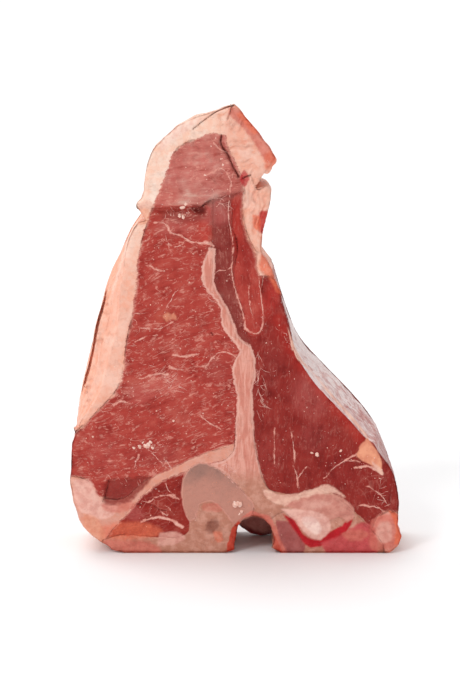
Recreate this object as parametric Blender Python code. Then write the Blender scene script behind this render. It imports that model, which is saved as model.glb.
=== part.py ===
# A raw t-bone steak, cut thick, standing on its sawn chine edge with its front cut face towards -Y.
# Units are metres, +Z is up, and the origin is at the bottom centre of the steak's box.
# The steak is one lofted body. Seams that run through it from face to face part it into
# bone, cartilage, lean muscles and fat, each a solid of its own.

import math

import bpy
from mathutils import Vector
from mathutils.geometry import delaunay_2d_cdt

MM = 0.001
THICKNESS = 48 * MM
HEIGHT = 264 * MM
SEAM_GAP = 0.3 * MM
CUT_REACH = 40 * MM

RIM_STEP = 5.0 * MM
SEAM_STEP = 4.5 * MM
FACE_STEP = 11 * MM
EDGE_ROUND = 1.6 * MM
FACE_WAVE = 0.9 * MM
SIDE_WAVE = 0.7 * MM

# Each side is splayed, so that the back face is wider than the front one over a stretch of its height:
# the four heights, in mm, are where the splay starts, is full, stays full until, and ends.
LEFT_SPLAY = 13 * MM
LEFT_STRETCH = (65, 105, 140, 195)
RIGHT_SPLAY = 7.5 * MM
RIGHT_STRETCH = (45, 80, 102, 142)
SPLAY_DEPTH = 0.6
TIP_DROP = 7 * MM
TIP_LENGTH = 49 * MM
SEAM_DRIFT = 2.5 * MM
BASE_FLAT = 0.4 * MM
CANAL_SIDES = (-3 * MM, 27 * MM)
CANAL_TOP = 23 * MM
CANAL_CLOSED = 0.68
LOFT_DEPTHS = (0, 0.033, 0.3, 0.62, 0.967, 1)
BOX_CENTRE = Vector((-0.29, 0))

# The widest outline, seen from the front, in mm: down the fat side, along the sawn base and
# over the spinal canal, then up the tenderloin side and the flank tail.
FAT_SIDE = [
    (-2, 264), (-13, 260), (-28, 255), (-42, 245), (-49, 236), (-52, 226), (-54, 212), (-57, 205), (-54, 200),
    (-57, 196), (-63, 187), (-70, 171), (-77, 156), (-82, 137), (-90, 105), (-95, 82), (-97, 60),
    (-97, 36), (-93, 20), (-85, 10), (-76, 4), (-66, 0),
]
CANAL = [(-8, 0), (-2, 5), (0, 16), (3, 20), (9, 22), (15, 21.5), (20, 16), (22, 7), (26, 0)]
TENDERLOIN_SIDE = [
    (90, 0), (95, 4), (97, 10), (94, 17), (95, 30), (93, 43), (89, 55), (81, 72), (69, 87), (51, 106),
    (37, 122), (30, 138), (24, 156), (20, 169), (14, 177), (14, 189), (17, 202), (19, 214), (14, 219),
    (10, 222), (17, 226), (21, 232), (18, 240), (11, 249), (4, 257),
]

# Seams between the tissues, seen from the front, in mm.
FAT_LINE = [(-100, 68), (-91, 73), (-77, 87), (-68, 98), (-65, 111), (-63, 129), (-60, 146), (-59, 167),
            (-57, 184), (-51, 203), (-45, 217), (-41, 229), (-36, 238), (-22, 245), (-15, 247), (-9, 246)]
TAIL_CRACK = [(-8, 246), (-7, 240), (-4, 234), (0, 225)]
TAIL_FAT_LINE = [(2, 222), (2, 215), (1, 203), (2, 195), (5, 187), (9, 180), (10, 172), (11, 167)]
FLANK_SEAM = [(-2, 227), (-4, 216), (-5, 203), (-5, 194), (-2, 183), (-3, 166), (-1, 157), (3, 145), (5, 134)]
FLANK_HOOK = [(8, 131), (11, 131), (14, 133), (16, 141), (15, 152), (13, 160), (14, 172)]
FLAP_LINE = [(-66, 206), (-54, 206), (-44, 205), (-30, 206), (-22, 205), (-17, 209), (-3, 213)]
STEM_LEFT = [(-18, 181), (-20, 174), (-22, 164), (-17, 155), (-10, 147), (-9, 136), (0, 125), (2, 121),
             (-2, 110), (1, 96), (1, 70), (0, 62), (-6, 56), (-14, 54)]
STEM_RIGHT = [(28, 37), (20, 40), (16, 48), (12, 70), (11, 89), (10, 98), (12, 107), (10, 122), (1, 130),
              (-2, 139), (-9, 152), (-14, 161), (-14, 181)]
STEM_MIDDLE = [(4, 58), (5, 80), (6, 100), (6, 118), (-3, 134), (-8, 147), (-17, 160), (-16, 190), (-16, 215)]
VERTEBRA_TOP = [(86, 8), (79, 17), (69, 28), (57, 39), (51, 41), (40, 38), (34, 36), (28, 37)]
BAND_TOP = [(-102, 46), (-87, 43), (-80, 33), (-70, 30), (-62, 33), (-55, 40), (-39, 49), (-18, 59), (2, 66)]
BAND_LOW = [(3, 58), (-12, 53), (-30, 48), (-45, 41), (-57, 31), (-67, 19), (-75, 10), (-80, 2)]
CARTILAGE = [(-20, 54), (-27, 49), (-31, 39), (-30, 27), (-27, 18), (-24, 20), (-21, 29), (-14, 31), (-6, 25),
             (0, 17), (7, 20), (11, 29), (6, 36), (-3, 46), (-12, 52)]
SPINE_TOP = [(-79, 6), (-66, 9), (-50, 8), (-34, 8), (-28, 13), (-26, 22), (-18, 34), (-6, 29), (3, 20)]
CORNER_FAT = [(80, 4), (80, 14), (84, 24), (90, 27), (102, 24)]


def smooth_step(low, high, value):
    """Rise from 0 at low to 1 at high."""
    if low == high:
        return float(value >= high)
    share = min(max((value - low) / (high - low), 0.0), 1.0)
    return share * share * (3 - 2 * share)


def window(value, low, full_low, full_high, high):
    """Rise from low to full_low, stay at 1, and fall to 0 from full_high to high."""
    return smooth_step(low, full_low, value) * (1 - smooth_step(full_high, high, value))


def placed(point):
    """A point given in mm, in metres from the middle of the steak's base."""
    return (Vector(point) - BOX_CENTRE) * MM


def spline(points, step, closed=False):
    """Points about one step apart on a smooth curve through the given points, which are in mm."""
    knots = [placed(point) for point in points]
    count = len(knots)
    result = []
    for index in range(count if closed else count - 1):
        if closed:
            before, start, end, after = (knots[(index + shift) % count] for shift in (-1, 0, 1, 2))
        else:
            before, start, end, after = (knots[min(max(index + shift, 0), count - 1)] for shift in (-1, 0, 1, 2))
        pieces = max(1, round((end - start).length / step))
        for piece in range(pieces):
            t = piece / pieces
            tangent_in = (end - before) / 2
            tangent_out = (after - start) / 2
            result.append(
                start * (2 * t**3 - 3 * t**2 + 1) + tangent_in * (t**3 - 2 * t**2 + t)
                + end * (3 * t**2 - 2 * t**3) + tangent_out * (t**3 - t**2)
            )
    if not closed:
        result.append(knots[-1])
    return result


def outward_normals(ring):
    """Unit normals that point out of an anticlockwise ring of 2-D points."""
    normals = []
    for index, point in enumerate(ring):
        along = ring[(index + 1) % len(ring)] - ring[index - 1]
        normals.append(Vector((along.y, -along.x)).normalized())
    return normals


def rim_outline():
    """The widest outline, with its base exactly flat."""
    ring = spline(FAT_SIDE + CANAL + TENDERLOIN_SIDE, RIM_STEP, closed=True)
    return [Vector((point.x, point.y if point.y > BASE_FLAT else 0.0)) for point in ring]


def rim_at_depth(ring, depth):
    """The outline at a depth from 0, the front cut face, to 1, the back one."""
    edge = min(depth, 1 - depth) * THICKNESS
    rounding = EDGE_ROUND * (1 - smooth_step(0, EDGE_ROUND, edge))
    unsplayed = 1 - smooth_step(0, SPLAY_DEPTH, depth)
    moved = []
    for index, (point, normal) in enumerate(zip(ring, outward_normals(ring))):
        x, z = point
        if x < 0:
            inset = LEFT_SPLAY * window(z / MM, *LEFT_STRETCH) * unsplayed
        else:
            inset = RIGHT_SPLAY * window(z / MM, *RIGHT_STRETCH) * unsplayed
        ripple = math.sin(index * 0.83 + depth * 5) + math.sin(index * 0.31 - depth * 7.3)
        inset += 0.5 * SIDE_WAVE * ripple * math.sin(math.pi * depth) * smooth_step(2, 20, z / MM)
        inset += rounding * smooth_step(0, 3, z / MM)
        in_canal = CANAL_SIDES[0] < x < CANAL_SIDES[1] and z < CANAL_TOP
        place = point - normal * inset
        if in_canal:
            place.y = point.y * (1 - CANAL_CLOSED * smooth_step(0.5, 0.95, depth))
        place.y -= TIP_DROP * smooth_step(HEIGHT - TIP_LENGTH, HEIGHT, z) * smooth_step(0.2, 1, depth)
        moved.append(place)
    return moved


def inside(point, ring):
    """Whether a 2-D point lies in a ring."""
    hit = False
    for index, corner in enumerate(ring):
        other = ring[index - 1]
        if (corner.y > point.y) != (other.y > point.y):
            crossing = corner.x + (point.y - corner.y) * (other.x - corner.x) / (other.y - corner.y)
            hit = hit != (point.x < crossing)
    return hit


def face_points(ring):
    """Staggered points inside a ring that stay clear of its edge."""
    low_x = min(point.x for point in ring)
    high_x = max(point.x for point in ring)
    high_z = max(point.y for point in ring)
    row_step = FACE_STEP * math.sqrt(3) / 2
    points = []
    for row in range(1, int(high_z / row_step) + 1):
        shift = 0.5 * FACE_STEP * (row % 2)
        for column in range(int((high_x - low_x) / FACE_STEP) + 1):
            point = Vector((low_x + shift + column * FACE_STEP, row * row_step))
            nearest = min((point - corner).length for corner in ring)
            if nearest > 0.55 * FACE_STEP and inside(point, ring):
                points.append(point)
    return points


def face_wave(x, z):
    """How far the cut face stands proud at a place, in metres."""
    return FACE_WAVE * (math.sin(x / (17 * MM) + 1) * math.sin(z / (23 * MM)) + 0.5 * math.sin(z / (9 * MM)))


def lofted_body():
    """Vertices and faces of the whole steak: rings from front to back and a wavy face on each end."""
    ring = rim_outline()
    verts = []
    faces = []
    for depth in LOFT_DEPTHS:
        y = (depth - 0.5) * THICKNESS
        verts += [(point.x, y, point.y) for point in rim_at_depth(ring, depth)]
    count = len(ring)
    for band in range(len(LOFT_DEPTHS) - 1):
        for index in range(count):
            here = band * count + index
            right = band * count + (index + 1) % count
            faces += [(here, here + count, right + count), (here, right + count, right)]
    for depth, first in ((0, 0), (1, count * (len(LOFT_DEPTHS) - 1))):
        rim = rim_at_depth(ring, depth)
        corners = rim + face_points(rim)
        edges = [(index, (index + 1) % count) for index in range(count)]
        _, _, triangles, sources, _, _ = delaunay_2d_cdt(corners, edges, [], 1, 1e-7)
        side = -1 if depth == 0 else 1
        numbers = []
        for source in sources:
            if source[0] < count:
                numbers.append(first + source[0])
                continue
            x, z = corners[source[0]]
            numbers.append(len(verts))
            verts.append((x, side * (THICKNESS / 2 - FACE_WAVE * 2 + face_wave(x, z)), z))
        for triangle in triangles:
            face = [numbers[corner] for corner in triangle]
            faces.append(face if side < 0 else face[::-1])
    return verts, faces


def drifted(point, y):
    """Where a seam's point lies at depth y: the grain leans a little from the front to the back."""
    share = y / (THICKNESS / 2)
    x, z = point
    return (x + SEAM_DRIFT * share * math.sin(z / (45 * MM)), y, z + SEAM_DRIFT * share * math.sin(x / (40 * MM)))


def grown(outline, margin):
    """An anticlockwise outline moved outwards by a margin."""
    return [point + normal * margin for point, normal in zip(outline, outward_normals(outline))]


def prism(outline):
    """Vertices and faces of a region's outline carried through the steak."""
    count = len(outline)
    verts = [drifted(point, -CUT_REACH) for point in outline] + [drifted(point, CUT_REACH) for point in outline]
    faces = [tuple(range(count)), tuple(range(2 * count - 1, count - 1, -1))]
    for index in range(count):
        after = (index + 1) % count
        faces += [(index, index + count, after + count), (index, after + count, after)]
    return verts, faces


def anticlockwise(outline):
    """The outline, turned round if it runs clockwise."""
    area = sum(outline[index - 1].cross(point) for index, point in enumerate(outline))
    return outline if area > 0 else outline[::-1]


def region(*stretches):
    """A closed outline from seams, lists of several points, and corners that lie outside the steak."""
    outline = []
    for stretch in stretches:
        outline += spline(stretch, SEAM_STEP) if len(stretch) > 2 else [placed(point) for point in stretch]
    return anticlockwise(outline)


def tissue_regions():
    """Each tissue's outline. A tissue earlier in the list keeps its whole outline, and a later one gives way."""
    return {
        "cartilage_cap": anticlockwise(spline(CARTILAGE, SEAM_STEP, closed=True)),
        "spine_bone": region(SPINE_TOP, [(6, 12), (6, -9)], [(-82, -9)]),
        "t_bone": region(VERTEBRA_TOP, STEM_RIGHT[1:], STEM_LEFT, [(-12, 42), (9, 20)], [(9, -9), (88, -9)]),
        "chine_fat": region(BAND_TOP, BAND_LOW, [(-82, -9), (-112, -9)]),
        "back_muscle": region([(-16, 50), (-24, 54)], [(-56, 38), (-80, 4)], [(-28, -9), (-22, 24)]),
        "fat_cap": region(FAT_LINE, [(-8, 254), (0, 276)], [(-120, 276), (-120, 68)]),
        "tail_fat": region(TAIL_CRACK, TAIL_FAT_LINE, [(40, 162), (40, 276)], [(-2, 276), (-12, 254)]),
        "tail_muscle": region(FLAP_LINE, [(6, 218), (6, 250)], [(-30, 262), (-66, 250)]),
        "flank_strip": region(FLANK_SEAM, FLANK_HOOK, [(18, 178), (6, 212)], [(4, 230)]),
        "flank_wedge": region(FLANK_SEAM, [(8, 126), (6, 122)], STEM_MIDDLE[3:], [(-9, 226), (-3, 228)]),
        "corner_fat": region(CORNER_FAT, [(112, 22), (112, -9)], [(80, -9)]),
        "tenderloin": region([(3, 136), (8, 100)], [(8, 44), (50, 20)], [(84, -9), (120, -9)], [(120, 130), (30, 180)],
                             [(12, 180), (4, 150)]),
        "strip_loin": region([(-112, 26), (-60, 26)], STEM_MIDDLE, [(-70, 215), (-112, 120)]),
    }


def material(name, colour, roughness):
    """A plain finish."""
    finish = bpy.data.materials.new(name)
    finish.use_nodes = True
    shader = finish.node_tree.nodes["Principled BSDF"]
    shader.inputs["Base Color"].default_value = (*colour, 1)
    shader.inputs["Roughness"].default_value = roughness
    shader.inputs["Metallic"].default_value = 0
    return finish


def mesh_object(name, verts, faces):
    """A mesh object in the scene."""
    mesh = bpy.data.meshes.new(name)
    mesh.from_pydata(verts, [], faces)
    mesh.update()
    made = bpy.data.objects.new(name, mesh)
    bpy.context.scene.collection.objects.link(made)
    return made


def cutter(name, outline):
    """A region's prism, kept as a guide that isn't part of the steak."""
    guide = mesh_object(name, *prism(outline))
    guide.hide_render = True
    guide.display_type = "WIRE"
    return guide


def boolean(target, operation, tool):
    """A live Boolean. The exact solver leaves slivers where seams run close together, so this is MANIFOLD."""
    modifier = target.modifiers.new(operation.title(), "BOOLEAN")
    modifier.operation = operation
    modifier.solver = "MANIFOLD"
    modifier.object = tool


def boxes_meet(first, second):
    """Whether two outlines' boxes overlap."""
    for axis in (0, 1):
        low_first, high_first = (pick(point[axis] for point in first) for pick in (min, max))
        low_second, high_second = (pick(point[axis] for point in second) for pick in (min, max))
        if low_first > high_second or low_second > high_first:
            return False
    return True


def build():
    """Make each tissue as the body's share of its region, less the regions that come before it."""
    for leftover in list(bpy.data.objects):
        bpy.data.objects.remove(leftover)
    finishes = {
        "bone": material("bone", (0.60, 0.27, 0.20), 0.45),
        "cartilage": material("cartilage", (0.48, 0.22, 0.17), 0.35),
        "fat": material("fat", (0.90, 0.50, 0.37), 0.45),
        "lean": material("lean", (0.43, 0.075, 0.062), 0.4),
        "dark lean": material("dark lean", (0.30, 0.042, 0.034), 0.38),
    }
    finish_of = {
        "cartilage_cap": "cartilage", "spine_bone": "bone", "t_bone": "bone", "chine_fat": "fat",
        "fat_cap": "fat", "tail_fat": "fat", "corner_fat": "fat", "tenderloin": "dark lean",
        "flank_wedge": "dark lean",
    }
    steak = bpy.data.objects.new("steak", None)
    bpy.context.scene.collection.objects.link(steak)
    body = mesh_object("whole_body", *lofted_body())
    body.hide_render = True
    body.display_type = "WIRE"
    finished = []
    for name, outline in tissue_regions().items():
        tissue = bpy.data.objects.new(name, body.data.copy())
        bpy.context.scene.collection.objects.link(tissue)
        tissue.parent = steak
        tissue.data.materials.append(finishes[finish_of.get(name, "lean")])
        boolean(tissue, "INTERSECT", cutter(f"{name}_region", outline))
        for earlier, keepout in finished:
            if boxes_meet(outline, earlier):
                boolean(tissue, "DIFFERENCE", keepout)
        wide = grown(outline, SEAM_GAP)
        finished.append((wide, cutter(f"{name}_keepout", wide)))


build()
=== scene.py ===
import math

import bmesh
import bpy
import numpy as np
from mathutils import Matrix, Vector


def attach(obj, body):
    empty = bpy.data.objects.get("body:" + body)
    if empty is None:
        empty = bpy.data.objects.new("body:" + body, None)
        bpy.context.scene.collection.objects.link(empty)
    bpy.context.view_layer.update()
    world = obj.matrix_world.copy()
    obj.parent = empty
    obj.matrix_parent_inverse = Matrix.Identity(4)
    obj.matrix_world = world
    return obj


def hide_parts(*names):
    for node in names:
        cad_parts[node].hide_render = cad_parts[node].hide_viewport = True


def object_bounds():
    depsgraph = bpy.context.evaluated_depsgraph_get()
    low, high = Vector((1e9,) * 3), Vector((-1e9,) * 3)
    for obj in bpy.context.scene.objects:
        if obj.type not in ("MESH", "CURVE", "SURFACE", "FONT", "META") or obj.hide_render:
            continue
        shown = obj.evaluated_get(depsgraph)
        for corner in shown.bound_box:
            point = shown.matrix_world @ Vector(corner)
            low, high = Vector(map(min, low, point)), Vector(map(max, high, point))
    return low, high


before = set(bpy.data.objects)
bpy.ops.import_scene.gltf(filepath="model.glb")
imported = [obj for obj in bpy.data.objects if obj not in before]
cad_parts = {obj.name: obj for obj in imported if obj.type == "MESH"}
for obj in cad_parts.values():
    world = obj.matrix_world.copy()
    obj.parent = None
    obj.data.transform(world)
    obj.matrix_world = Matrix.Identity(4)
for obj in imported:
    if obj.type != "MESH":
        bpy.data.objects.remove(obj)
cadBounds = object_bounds()
mm = 0.001
lowCorner, highCorner = (np.array(corner) / mm for corner in cadBounds)
halfThick = highCorner[1]
steakTop = highCorner[2]

# what each solid is, the colour of its lean, and how much white runs through it
tissues = {
    "strip_loin": {"kind": "lean", "flesh": (0.425, 0.046, 0.033), "marbling": 0.85},
    "tenderloin": {"kind": "lean", "flesh": (0.275, 0.018, 0.013), "marbling": 0.22},
    "tail_muscle": {"kind": "lean", "flesh": (0.545, 0.150, 0.120), "marbling": 0.75},
    "flank_strip": {"kind": "lean", "flesh": (0.430, 0.045, 0.032), "marbling": 0.2},
    "flank_wedge": {"kind": "lean", "flesh": (0.245, 0.027, 0.021), "marbling": 0.35},
    "back_muscle": {"kind": "lean", "flesh": (0.300, 0.020, 0.013), "marbling": 0.2},
    "fat_cap": {"kind": "fat"},
    "tail_fat": {"kind": "fat"},
    "chine_fat": {"kind": "fat"},
    "corner_fat": {"kind": "fat"},
    "t_bone": {"kind": "bone"},
    "spine_bone": {"kind": "bone"},
    "cartilage_cap": {"kind": "gristle"},
}
names = list(tissues)


def ofKind(kind):
    return [index for index, name in enumerate(names) if tissues[name]["kind"] == kind]


def smoothStep(low, high, value):
    share = np.clip((value - low) / (high - low), 0, 1)
    return share * share * (3 - 2 * share)


def curvePoints(points, step=1.5):
    knots = [np.array(point, float) for point in points]
    result = []
    for index in range(len(knots) - 1):
        before, start = knots[max(index - 1, 0)], knots[index]
        end, after = knots[index + 1], knots[min(index + 2, len(knots) - 1)]
        pieces = max(1, int(np.linalg.norm(end - start) / step))
        for piece in range(pieces):
            t = piece / pieces
            result.append(
                start * (2 * t**3 - 3 * t**2 + 1) + (end - before) / 2 * (t**3 - 2 * t**2 + t)
                + end * (3 * t**2 - 2 * t**3) + (after - start) / 2 * (t**3 - t**2)
            )
    result.append(knots[-1])
    return np.array(result)


def distanceTo(path, x, z, widths=(0, 0)):
    best = np.full(x.shape, 1e3)
    count = len(path) - 1
    for index in range(count):
        a, b = path[index], path[index + 1]
        along = b - a
        length = max(along @ along, 1e-9)
        t = np.clip(((x - a[0]) * along[0] + (z - a[1]) * along[1]) / length, 0, 1)
        width = widths[0] + (widths[1] - widths[0]) * (index + t) / count
        best = np.minimum(best, np.hypot(x - a[0] - t * along[0], z - a[1] - t * along[1]) - width)
    return best


def signedTo(points, x, z):
    ring = curvePoints(list(points) + [points[0]], 2.0)
    away = distanceTo(ring, x, z)
    return np.where(segmentInside(np.hstack([np.roll(ring, 1, axis=0), ring]), x, z), -away, away)


lattice = np.random.RandomState(7).rand(32, 32, 32).astype(np.float32)


def noise(x, y, z, size, seed=0):
    where = [np.asarray(part) / size + seed * shift for part, shift in zip((x, y, z), (5.3, 9.1, 13.7))]
    whole = [np.floor(part).astype(int) for part in where]
    part = [(value - low) for value, low in zip(where, whole)]
    part = [value * value * (3 - 2 * value) for value in part]
    total = 0
    for i in (0, 1):
        for j in (0, 1):
            for k in (0, 1):
                weight = 1
                for share, step in zip(part, (i, j, k)):
                    weight = weight * (share if step else 1 - share)
                total = total + weight * lattice[(whole[0] + i) % 32, (whole[1] + j) % 32, (whole[2] + k) % 32]
    return total * 2 - 1


def layeredNoise(x, y, z, size, seed=0):
    return noise(x, y, z, size, seed) * 0.65 + noise(x, y, z, size / 2.1, seed + 1) * 0.35


# where each tissue lies, read from the solids at two depths
gridStep = 1.0
gridX = np.arange(lowCorner[0] - 12, highCorner[0] + 12, gridStep)
gridZ = np.arange(-12, steakTop + 12, gridStep)
slices = (-halfThick * 0.75, halfThick * 0.75)


def sectionSegments(node, y):
    mesh = bmesh.new()
    mesh.from_mesh(node.data)
    bmesh.ops.remove_doubles(mesh, verts=mesh.verts, dist=1e-6)
    geometry = mesh.verts[:] + mesh.edges[:] + mesh.faces[:]
    cut = bmesh.ops.bisect_plane(mesh, geom=geometry, plane_co=(0, y * mm, 0), plane_no=(0, 1, 0), dist=1e-7)
    segments = [
        [edge.verts[0].co.x, edge.verts[0].co.z, edge.verts[1].co.x, edge.verts[1].co.z]
        for edge in cut["geom_cut"] if isinstance(edge, bmesh.types.BMEdge)
    ]
    mesh.free()
    return np.array(segments) / mm


def segmentDistance(segments, x, z):
    best = np.full(x.shape, 1e3)
    for ax, az, bx, bz in segments:
        length = max((bx - ax) ** 2 + (bz - az) ** 2, 1e-9)
        t = np.clip(((x - ax) * (bx - ax) + (z - az) * (bz - az)) / length, 0, 1)
        best = np.minimum(best, np.hypot(x - ax - t * (bx - ax), z - az - t * (bz - az)))
    return best


def segmentInside(segments, x, z):
    hit = np.zeros(x.shape, bool)
    for ax, az, bx, bz in segments:
        if az == bz:
            continue
        hit ^= ((az > z) != (bz > z)) & (x < ax + (z - az) * (bx - ax) / (bz - az))
    return hit


def sample(grid, x, z):
    u = np.clip((x - gridX[0]) / gridStep, 0, len(gridX) - 1.001)
    v = np.clip((z - gridZ[0]) / gridStep, 0, len(gridZ) - 1.001)
    i, j = u.astype(int), v.astype(int)
    s, t = u - i, v - j
    low = grid[i, j] * (1 - s) + grid[i + 1, j] * s
    high = grid[i, j + 1] * (1 - s) + grid[i + 1, j + 1] * s
    return low * (1 - t) + high * t


def readSections():
    meshX, meshZ = np.meshgrid(gridX, gridZ, indexing="ij")
    sections = []
    rims = []
    for y in slices:
        cuts = [sectionSegments(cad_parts[name], y) for name in names]
        fields = []
        for segments in cuts:
            away = segmentDistance(segments, meshX, meshZ)
            fields.append(np.where(segmentInside(segments, meshX, meshZ), -away, away))
        outer = []
        for index, segments in enumerate(cuts):
            middleX, middleZ = (segments[:, 0] + segments[:, 2]) / 2, (segments[:, 1] + segments[:, 3]) / 2
            others = [sample(field, middleX, middleZ) for other, field in enumerate(fields) if other != index]
            outer.append(segments[np.min(others, axis=0) > 0.9])
        away = segmentDistance(np.concatenate(outer), meshX, meshZ)
        covered = np.min(fields, axis=0) < 0.25
        rims.append(np.where(covered, -away, away))
        sections.append(fields)
    return sections, rims


sections, rims = readSections()
print("read the sections of", len(names), "tissues")


class Place:
    def __init__(self, x, y, z, wobble=0.0):
        self.x, self.y, self.z = x, y, z
        share = np.clip((y - slices[0]) / (slices[1] - slices[0]), 0, 1)
        shiftX = x + wobble * layeredNoise(x, y, z, 4.5, 3)
        shiftZ = z + wobble * layeredNoise(x, y, z, 4.5, 8)
        self.fields = [
            sample(front, shiftX, shiftZ) * (1 - share) + sample(back, shiftX, shiftZ) * share
            for front, back in zip(*sections)
        ]
        self.rim = sample(rims[0], x, z) * (1 - share) + sample(rims[1], x, z) * share

    # negative inside the named solids, positive in the others, zero along the seam
    def against(self, members):
        own = np.min([self.fields[index] for index in members], axis=0)
        rest = np.min([field for index, field in enumerate(self.fields) if index not in members], axis=0)
        return (own - rest) / 2


def signedSide(path, x, z):
    best = np.full(x.shape, 1e3)
    sign = np.ones(x.shape)
    for a, b in zip(path[:-1], path[1:]):
        along = b - a
        t = np.clip(((x - a[0]) * along[0] + (z - a[1]) * along[1]) / max(along @ along, 1e-9), 0, 1)
        away = np.hypot(x - a[0] - t * along[0], z - a[1] - t * along[1])
        side = np.sign(along[0] * (z - a[1]) - along[1] * (x - a[0]))
        closer = away < best
        best = np.where(closer, away, best)
        sign = np.where(closer, side, sign)
    return best * sign


def nearPath(path, x, z, margin):
    low, high = path.min(axis=0) - margin, path.max(axis=0) + margin
    return np.flatnonzero((x > low[0]) & (x < high[0]) & (z > low[1]) & (z < high[1]))


# what shows on the front cut face, in mm from the middle of the base

flapLine = curvePoints([(-66, 206), (-54, 206), (-44, 205), (-30, 206), (-22, 205), (-17, 209), (-3, 213)])
# cracks in the cut face: sunk by their depth, and painted dark along them as shade in the crevice
cracks = {
    "tip": {"path": [(-25, 250), (-20, 254), (-13, 259), (-9, 261), (-1, 264)], "width": 0.12, "depth": 1.4},
    "fold": {"path": [(-9, 246), (-9, 241), (-5, 235), (-2, 228), (1, 223)], "width": 0.42, "depth": 2.4},
    "windowTop": {"path": [(-76, 44.5), (-62, 46), (-51, 47)], "width": 0.05, "depth": 0.8},
    "windowSide": {"path": [(-75, 44.5), (-77, 36), (-79, 31)], "width": 0.1, "depth": 0.8},
    "backMuscle": {"path": [(-58, 30), (-50, 29), (-45, 26), (-41, 26)], "width": 0.15, "depth": 0.7},
    "lumps": {"path": [(3, 222), (8, 224), (12, 222), (16, 224)], "width": 0.2, "depth": 1.4},
    "legFront": {"path": [(20, 21), (28, 25), (33, 18), (38, 8)], "width": 0.0, "depth": 0.7},
    "loinPit": {"path": [(-15, 132), (-14, 131)], "width": 0.5, "depth": 0.8},
}
for crack in cracks.values():
    crack["curve"] = curvePoints(crack["path"])

# white seams and veins in the meat: points, then half-widths at the start and the end
veins = [
    ([(-47, 197), (-41, 196), (-38, 191), (-32, 189), (-29, 187), (-24, 185), (-17, 185), (-14, 183)], 0.4, 0.8),
    ([(-41, 190), (-40, 186), (-38, 183), (-34, 183), (-29, 186)], 0.15, 0.4),
    ([(-50, 172), (-46, 169), (-41, 168)], 0.5, 0.3),
    ([(-2, 226), (-4, 216), (-5, 203), (-4, 194), (-2, 183)], 0.35, 0.25),
    ([(-2, 183), (-3, 169), (-1, 158), (3, 145), (5, 135)], 0.35, 0.6),
    ([(5, 135), (9, 132), (13, 133), (15, 141), (14, 153), (13, 160), (12, 171)], 0.45, 0.15),
    ([(7, 161), (7, 151), (9, 142)], 0.3, 0.2),
    ([(-23, 113), (-18, 113), (-14, 118), (-9, 121), (-4, 120), (1, 117)], 0.2, 0.45),
    ([(-37, 119.5), (-31, 118.6), (-22, 120)], 1.0, 0.5),
    ([(-56, 105), (-51, 107), (-46, 108), (-40, 108)], 0.5, 0.9),
    ([(-39, 112), (-35, 111), (-31, 110.5)], 0.9, 0.2),
    ([(-61, 136), (-53, 135), (-44, 135), (-37, 139)], 0.2, 0.3),
    ([(-59, 127), (-53, 130), (-46, 131)], 0.5, 0.25),
    ([(-41, 147), (-38, 152), (-36, 156), (-33, 158)], 0.25, 0.3),
    ([(-14, 166), (-10, 169), (-7, 169), (-3, 171)], 0.3, 0.25),
    ([(-18, 224), (-13, 226), (-9, 228), (-5, 224), (-3, 218)], 0.3, 0.5),
    ([(-15, 245), (-12, 241), (-9, 238), (-4, 236)], 0.5, 0.4),
    ([(-43, 58), (-39, 53), (-38, 49)], 0.3, 0.4),
    ([(-52, 63), (-45, 56), (-40, 51)], 0.2, 0.3),
    ([(-22, 84), (-16, 79), (-9, 75)], 0.35, 0.45),
    ([(22, 76), (22, 66), (22, 54)], 0.35, 0.25),
    ([(31, 76), (33, 66), (34, 55)], 0.25, 0.35),
    ([(33, 53), (35, 48), (36, 40)], 0.4, 0.8),
    ([(41, 53), (38, 49), (36, 45)], 0.35, 0.5),
    ([(51, 45), (57, 52), (63, 56), (70, 60)], 0.25, 0.6),
    ([(63, 56), (70, 56), (75, 54)], 0.35, 0.3),
    ([(69, 52), (77, 53), (82, 50), (86, 48)], 0.9, 0.6),
    ([(75, 41), (80, 39), (85, 35), (89, 29)], 0.4, 0.5),
    ([(72, 29), (82, 28), (88, 24)], 0.5, 0.6),
    ([(-17, 57), (-12, 52), (-6, 54), (0, 49), (7, 48)], 0.5, 0.7),
    ([(-9, 60), (-6, 53), (-7, 48), (-1, 44), (4, 38)], 0.5, 0.6),
    ([(-12, 51), (-6, 47), (0, 40), (6, 34)], 0.45, 0.7),
    ([(-57, 33), (-52, 31), (-49, 33), (-45, 35), (-39, 35), (-34, 33)], 0.25, 0.45),
    ([(-53, 41), (-54, 38), (-57, 33)], 0.3, 0.3),
    ([(-42, 43), (-40, 38), (-36, 35)], 0.3, 0.3),
    ([(-42, 29), (-39, 27), (-41, 23), (-45, 26)], 0.4, 0.4),
    ([(-57, 19), (-51, 21), (-46, 22), (-42, 21), (-37, 19), (-32, 16)], 0.6, 1.0),
    ([(-72, 90), (-67, 92), (-62, 90)], 0.8, 0.3),
    ([(-60, 52), (-59, 56), (-57, 60)], 0.3, 0.5),
    ([(16, 176), (15, 165), (14, 158)], 0.5, 0.2),
]
veins = [{"curve": curvePoints(points), "widths": (start, end)} for points, start, end in veins]

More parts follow.
